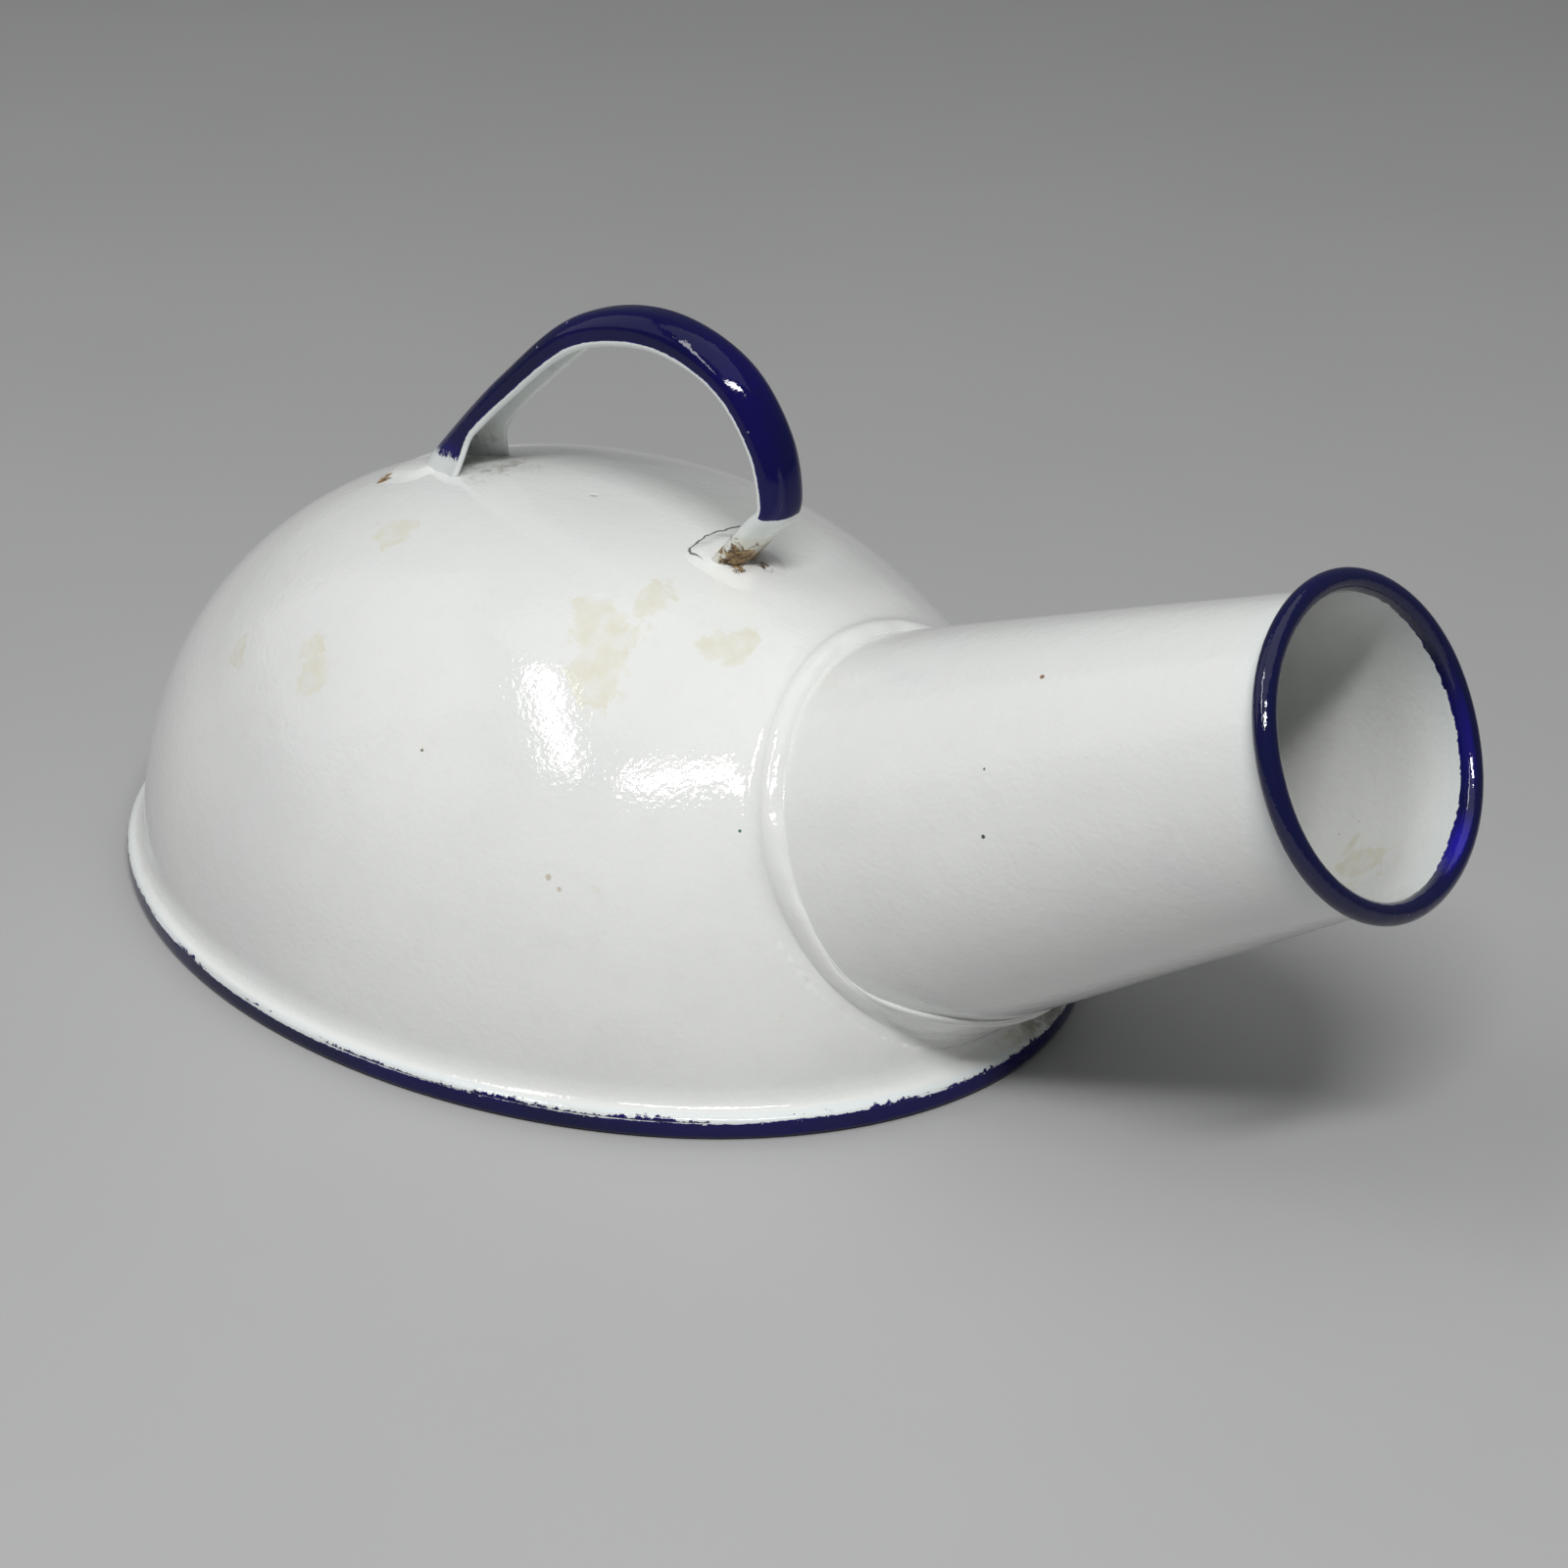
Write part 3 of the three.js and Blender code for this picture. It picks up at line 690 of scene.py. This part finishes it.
def collar_skin():
    """Fillet that draws the dome up to the neck and ends in a thin sleeve on it."""
    columns = 480
    angle = full_turn(columns)
    away = np.degrees(apart(angle))
    below = smooth(away, 66, 104)
    reach = lerp(lerp(7.6, 4.9, smooth(away, 20, 75)), 2.3, below)
    height = lerp(2.3, 0.5, below) + 0.10 * np.sin(4 * angle + 0.3) + 0.06 * np.sin(11 * angle)
    length = sleeve_length(angle) + 0.10 * np.sin(14 * angle) + 0.06 * np.sin(31 * angle + 1)
    lip = lerp(2.1, 0.85, below)
    rows = []
    for t in np.linspace(-0.2, 1, 28):
        c = lip + (reach - lip) * (1 - t) ** 2
        h = height * max(t, 0) ** 2 + 1.8 * min(t, 0)
        rows.append(settle_along(c, h, angle))

    # the collar's edge as (along, clearance): rolled in at once above, and a sleeve with a lip below
    rest = length - height
    short = [
        (height, lip),
        (height + 0.30 * rest, lip * 0.97),
        (height + 0.62 * rest, lip * 0.84),
        (height + 0.86 * rest, lip * 0.60),
        (height + 0.98 * rest, lip * 0.32),
        (height + 1.03 * rest, 0.02 * lip),
        (height + 1.05 * rest, -0.2 * lip),
    ]
    long = [
        (height, lip),
        (height + 0.6, lip - 0.55),
        (height + 1.6, 0.92),
        (height + 0.6 * rest, 0.85),
        (length - 0.6, 1.00),
        (length - 0.05, 0.60),
        (length + 0.10, -0.5),
    ]
    tongue = smooth(length, 4.4, 7.5)
    edge = [[lerp(a[0], b[0], tongue), lerp(a[1], b[1], tongue)] for a, b in zip(short, long)]
    for h, c in round_corners(np.stack(edge), 3)[1:]:
        rows.append(settle_along(c, h, angle, height))
    points = np.stack(rows)
    faces = grid_faces(len(rows), columns, True, False)
    # painted shade of the neck on the underside of the collar, in the grime colour
    marks = {"grime_and_shade": 0.35 * near(points.reshape(-1, 3), (93.0, 10.0, 9.0), 22.0)}
    return make_piece("collar_skin", points, faces, marks, dome_enamel, ())


def settle_along(c, h, angle, hold=None):
    """The collar's points at clearance c from the neck and h along it from the dome.

    Past hold they follow the neck.
    """
    h = np.zeros_like(c) + h
    s = neck_exit(c, angle)
    base = neck_point(s, neck_radius(s) + c, angle)
    lifted = settle(base) + h[..., None] * AXIS
    if hold is None:
        return lifted
    root = neck_exit(np.zeros_like(c), angle)
    along = root + h
    on_neck = neck_point(along, neck_radius(along) + c, angle)
    share = smooth(h, hold, hold + 2.0)[..., None]
    return lerp(lifted, on_neck, share)


def neck_lip():
    """Run of glaze that closes the joint, thin above and sagged into a crescent underneath."""
    columns = 480
    angle = full_turn(columns)
    sag = near_angle(angle, math.radians(-138), math.radians(34))
    size = 0.16 + 0.55 * sag + 0.02 * np.sin(9 * angle + 1.0) + 0.02 * np.sin(23 * angle)
    centre = neck_exit(np.zeros(columns), angle) + sleeve_length(angle) - 0.05 - 0.5 * sag
    rows = []
    for turn in np.linspace(0, 2 * math.pi, 18, endpoint=False):
        s = centre + size * 1.25 * math.cos(turn)
        c = 0.02 + 0.45 * sag + size * 0.62 * math.sin(turn)
        rows.append(neck_point(s, neck_radius(s) + c, angle))
    points = np.stack(rows)
    outward = grid_faces(len(rows), columns, True, True)[:, ::-1]
    return make_piece("neck_lip", points, outward, {}, dome_enamel, ["neck_weld"])


# ---------------------------------------------------------------- handle


def strap_line(count):
    """Even points along the back of the handle, in its side view, by a centripetal spline."""
    p = np.array(HANDLE_BACK)
    p = np.concatenate([[2 * p[0] - p[1]], p, [2 * p[-1] - p[-2]]])
    dense = []
    for k in range(1, len(p) - 2):
        knots = [0.0]
        for a, b in zip(p[k - 1 : k + 2], p[k : k + 3]):
            knots.append(knots[-1] + math.sqrt(np.linalg.norm(b - a)))
        t0, t1, t2, t3 = knots
        t = np.linspace(t1, t2, 24, endpoint=False)[:, None]
        a1 = ((t1 - t) * p[k - 1] + (t - t0) * p[k]) / (t1 - t0)
        a2 = ((t2 - t) * p[k] + (t - t1) * p[k + 1]) / (t2 - t1)
        a3 = ((t3 - t) * p[k + 1] + (t - t2) * p[k + 2]) / (t3 - t2)
        b1 = ((t2 - t) * a1 + (t - t0) * a2) / (t2 - t0)
        b2 = ((t3 - t) * a2 + (t - t1) * a3) / (t3 - t1)
        dense.append(((t2 - t) * b1 + (t - t1) * b2) / (t2 - t1))
    return resample(np.concatenate(dense + [p[-2:-1]]), count)


def strap_section(depth, flare):
    """Outline of the strap as (across, outwards) points, with each outer point's distance to the edge.

    Points inside the strap have -1.5 and the tips of its flanges -0.4 instead.
    """
    outer = [
        (-HALF_WIDTH - flare, -depth),
        (-HALF_WIDTH - 0.2 * flare, -depth * 0.45 - 1.2),
        (-5.05, -1.8),
        (-4.65, -0.92),
        (-2.5, 0.72),
        (0.0, 0.95),
        (2.5, 0.72),
        (4.65, -0.92),
        (5.05, -1.8),
        (HALF_WIDTH + 0.2 * flare, -depth * 0.45 - 1.2),
        (HALF_WIDTH + flare, -depth),
    ]
    outer = resample(round_corners(outer, 3), 57)
    step = np.gradient(outer, axis=0)
    normal = unit(np.stack([step[:, 1], -step[:, 0]], axis=1))
    inner = (outer + normal * WALL)[::-1]
    end = unit(outer[-1] - outer[-2])
    tip_a = (outer[-1] + inner[0]) / 2 + end * 0.5
    start = unit(outer[0] - outer[1])
    tip_b = (outer[0] + inner[-1]) / 2 + start * 0.5
    outline = np.concatenate([outer, tip_a[None], inner, tip_b[None]])
    steps = np.linalg.norm(np.diff(outer, axis=0), axis=1)
    arc = np.concatenate([[0], np.cumsum(steps)])
    to_edge = np.minimum(arc, arc[-1] - arc)
    mark = np.concatenate([to_edge, [-0.4], np.full(len(inner), -1.5), [-0.4]])
    return outline, mark


def handle_skin():
    stations = 200
    line = strap_line(stations)
    tangent = unit(np.gradient(line, axis=0))
    outward = np.stack([-tangent[:, 1], tangent[:, 0]], axis=1)
    share = np.linspace(0, 1, stations)
    rows = []
    marks = []
    for k in range(stations):
        # the flanges grow deep and spread into flaps at the rear foot
        depth = np.interp(share[k], (0.0, 0.5, 1.0), (3.4, 4.6, 2.6))
        depth += 5.0 * (1 - smooth(share[k], 0.095, 0.185))
        flare = 4.2 * (1 - smooth(share[k], 0.07, 0.17)) + 0.8 * (1 - smooth(share[k], 0.1, 0.25))
        section, mark = strap_section(depth, flare)
        x = line[k, 0] + outward[k, 0] * section[:, 1]
        z = line[k, 1] + outward[k, 1] * section[:, 1]
        rows.append(np.stack([x, section[:, 0], z], axis=1))
        marks.append(mark)
    points = np.stack(rows)
    marks = np.stack(marks)
    x, y, z = points[..., 0], points[..., 1], points[..., 2]

    # the trim stops short of both feet
    front_stop = np.where(x > 25, (z - FRONT_TRIM_END) * 0.9, 9.0)
    rear_stop = np.where(x < 0, (z - REAR_TRIM_END) * 0.10, 9.0)
    white_edge = marks - 0.55
    blue = np.minimum(np.minimum(white_edge, front_stop), rear_stop)
    outer_face = marks > -0.2
    blue = np.where(outer_face, blue, -3.0)

    # no point lies more than 0.6 mm inside the dome
    points[..., 2] = np.maximum(z, dome_height(x, y) - 0.6)
    faces = grid_faces(stations, points.shape[1], True, False)
    flat = points.reshape(-1, 3)
    foot_front = near(flat, (36.8, -3.0, 79.2), 7.2)
    foot_front = np.maximum(foot_front, near(flat, (36.5, 2.5, 78.0), 6.0))
    foot_rear = near(flat, (-36.0, -2.0, 77.0), 8.0)
    inside = (marks < -1.0).reshape(-1)
    rust = 1.05 * foot_front + 0.40 * foot_rear * inside
    # the inside of the channel is darker, most near the rear foot
    dirt_and_shade = inside * (0.14 + 0.22 * near(flat, (-30.0, 0.0, 80.0), 12.0)) + 0.18 * foot_rear
    # painted shade beneath the front leg's fold, and two dark spots of painted shade in its cavity
    dirt_and_shade = dirt_and_shade + 0.68 * near(flat, (38.0, 0.5, 80.8), 6.0)
    for cavity_shade_spot in ((37.6, -5.2, 81.2), (36.6, -5.2, 79.4)):
        dirt_and_shade = np.maximum(dirt_and_shade, 1.15 * near(flat, cavity_shade_spot, 2.4))
    # the front leg below about 85 mm takes the stain colour
    lower_leg_tint = np.where(flat[:, 0] > 25, 0.9 * (1 - smooth(flat[:, 2], 83, 87)), 0)
    marks = {"blue": blue, "rust": rust, "grime_and_shade": dirt_and_shade, "stain": lower_leg_tint}
    return make_piece("handle_skin", points, faces, marks, strap_enamel, ["handle_strap"])


mound_waves = make_waves(9, 4, 14, 0.05)


def foot_mound(name, middle, half_length, half_width, height, node, rusty):
    """Thick glaze over a foot tab, run out thin onto the dome. rusty is (centre, radius, amount) rows."""
    rows = columns = 110
    x = np.linspace(middle[0] - half_length - 4, middle[0] + half_length + 4, rows)
    y = np.linspace(middle[1] - half_width - 4, middle[1] + half_width + 4, columns)
    x, y = np.meshgrid(x, y, indexing="ij")
    ax = np.abs(x - middle[0]) / (half_length + 1.6)
    ay = np.abs(y - middle[1]) / (half_width + 1.6)
    level = (ax**3.2 + ay**3.2) ** (1 / 3.2)
    rise = height * (1 - smooth(level, 0.62, 1.12)) - 0.10 * smooth(level, 1.02, 1.15)
    ripple = wave_sum(np.stack([x, y, 0 * x], axis=-1), mound_waves)
    rise = rise + ripple * (1 - smooth(level, 0.8, 1.05))
    base = settle(np.stack([x, y, dome_height(x, y)], axis=-1))
    points = base + dome_normal(base) * rise[..., None]
    faces = grid_faces(rows, columns, False, False)
    keep = (level.reshape(-1)[faces] < 1.2).any(axis=1)
    flat = points.reshape(-1, 3)
    rust = np.zeros(len(flat))
    for centre, radius, amount in rusty:
        rust = np.maximum(rust, amount * near(flat, centre, radius))
    return make_piece(name, points, faces[keep], {"rust": rust}, foot_enamel, [node])


dome_skin()
base_skin()
neck_skin()
collar_skin()
neck_lip()
handle_skin()
foot_mound(
    "rear_foot_mound",
    middle=(-40.5, -0.3),
    half_length=4.8,
    half_width=9.0,
    height=0.8,
    node="rear_foot_weld",
    rusty=[
        ((-43.4, -9.6, 73.8), 3.4, 0.85),
        ((-46.0, -3.0, 73.0), 2.6, 0.6),
        ((-34.0, 0.0, 77.0), 5.0, 0.6),
    ],
)
foot_mound(
    "front_foot_mound",
    middle=(33.2, 0.2),
    half_length=6.0,
    half_width=5.6,
    height=1.0,
    node="front_foot_weld",
    rusty=[((36.0, -2.6, 77.2), 3.0, 0.8), ((38.2, 2.0, 76.2), 2.4, 0.6)],
)


def wire_look():
    g = Graph("drawn_wire")
    streak = g.noise(400, 4, 0.6)
    g.put(g.shader.inputs["Base Color"], g.mix(streak, (0.30, 0.28, 0.26), (0.46, 0.44, 0.41)))
    g.put(g.shader.inputs["Roughness"], g.ramp(streak, 0.3, 0.7, 0.35, 0.6))
    g.shader.inputs["Metallic"].default_value = 1.0
    return g.material


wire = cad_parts["mouth_wire"]
wire.data.materials.clear()
wire.data.materials.append(wire_look())


# ---------------------------------------------------------------- studio


def floor_look():
    g = Graph("pale_floor")
    grey = g.mix(g.noise(9, 4), (0.42, 0.42, 0.42), (0.46, 0.46, 0.46))
    g.put(g.shader.inputs["Base Color"], grey)
    g.shader.inputs["Roughness"].default_value = 0.6
    return g.material


bpy.ops.mesh.primitive_plane_add(size=8, location=(0, 0, -0.0002))
floor = bpy.context.object
floor.name = "studio_floor"
floor.data.materials.append(floor_look())


def area_light(name, size, power):
    lamp = bpy.data.lights.new(name, "AREA")
    lamp.shape = "RECTANGLE"
    lamp.size, lamp.size_y = size
    lamp.energy = power
    item = bpy.data.objects.new(name, lamp)
    bpy.context.scene.collection.objects.link(item)
    return item


def soft_light(name, place, target, size, power):
    item = area_light(name, size, power)
    item.location = place
    aim = Vector(target) - Vector(place)
    item.rotation_euler = aim.to_track_quat("-Z", "Y").to_euler()


def strip_light(name, first, last, width, power):
    """A strip between two points under the ceiling, facing down at the object."""
    first, last = Vector(first), Vector(last)
    middle = (first + last) / 2
    item = area_light(name, ((last - first).length, width), power)
    across = (last - first).normalized()
    back = (middle - Vector((0.04, 0, 0.05))).normalized()
    back = (back - across * back.dot(across)).normalized()
    turn = Matrix((across, back.cross(across), back)).transposed().to_4x4()
    turn.translation = middle
    item.matrix_world = turn


strip_light("left_strip", (-0.307, -0.345, 1.10), (0.038, -0.969, 1.10), 0.12, 3.0)
strip_light("right_strip", (0.361, -0.818, 1.10), (0.706, -0.314, 1.10), 0.10, 9.8)
soft_light("fill", (-1.3, -0.5, 1.0), (0, 0, 0.05), (1.4, 1.4), 2.6)
soft_light("ceiling", (0.1, 0.1, 1.6), (0.05, 0, 0.05), (1.6, 1.6), 4.6)

world = bpy.data.worlds.new("studio")
bpy.context.scene.world = world
world.use_nodes = True
background = world.node_tree.nodes["Background"].inputs
background["Color"].default_value = (0.80, 0.82, 0.85, 1)
background["Strength"].default_value = 0.15

bpy.context.scene.view_settings.view_transform = "Standard"

# the camera stands where the photo was taken, by a fit to the outlines of the vessel
camera_data = bpy.data.cameras.new("camera")
camera_data.sensor_width = 36
camera_data.lens = 72.83
camera_data.clip_start = 0.01
camera = bpy.data.objects.new("camera", camera_data)
bpy.context.scene.collection.objects.link(camera)
camera.location = (0.35243, -0.39531, 0.30348)
camera.rotation_euler = tuple(math.radians(a) for a in (61.9368, -1.3428, 38.5615))
bpy.context.scene.camera = camera
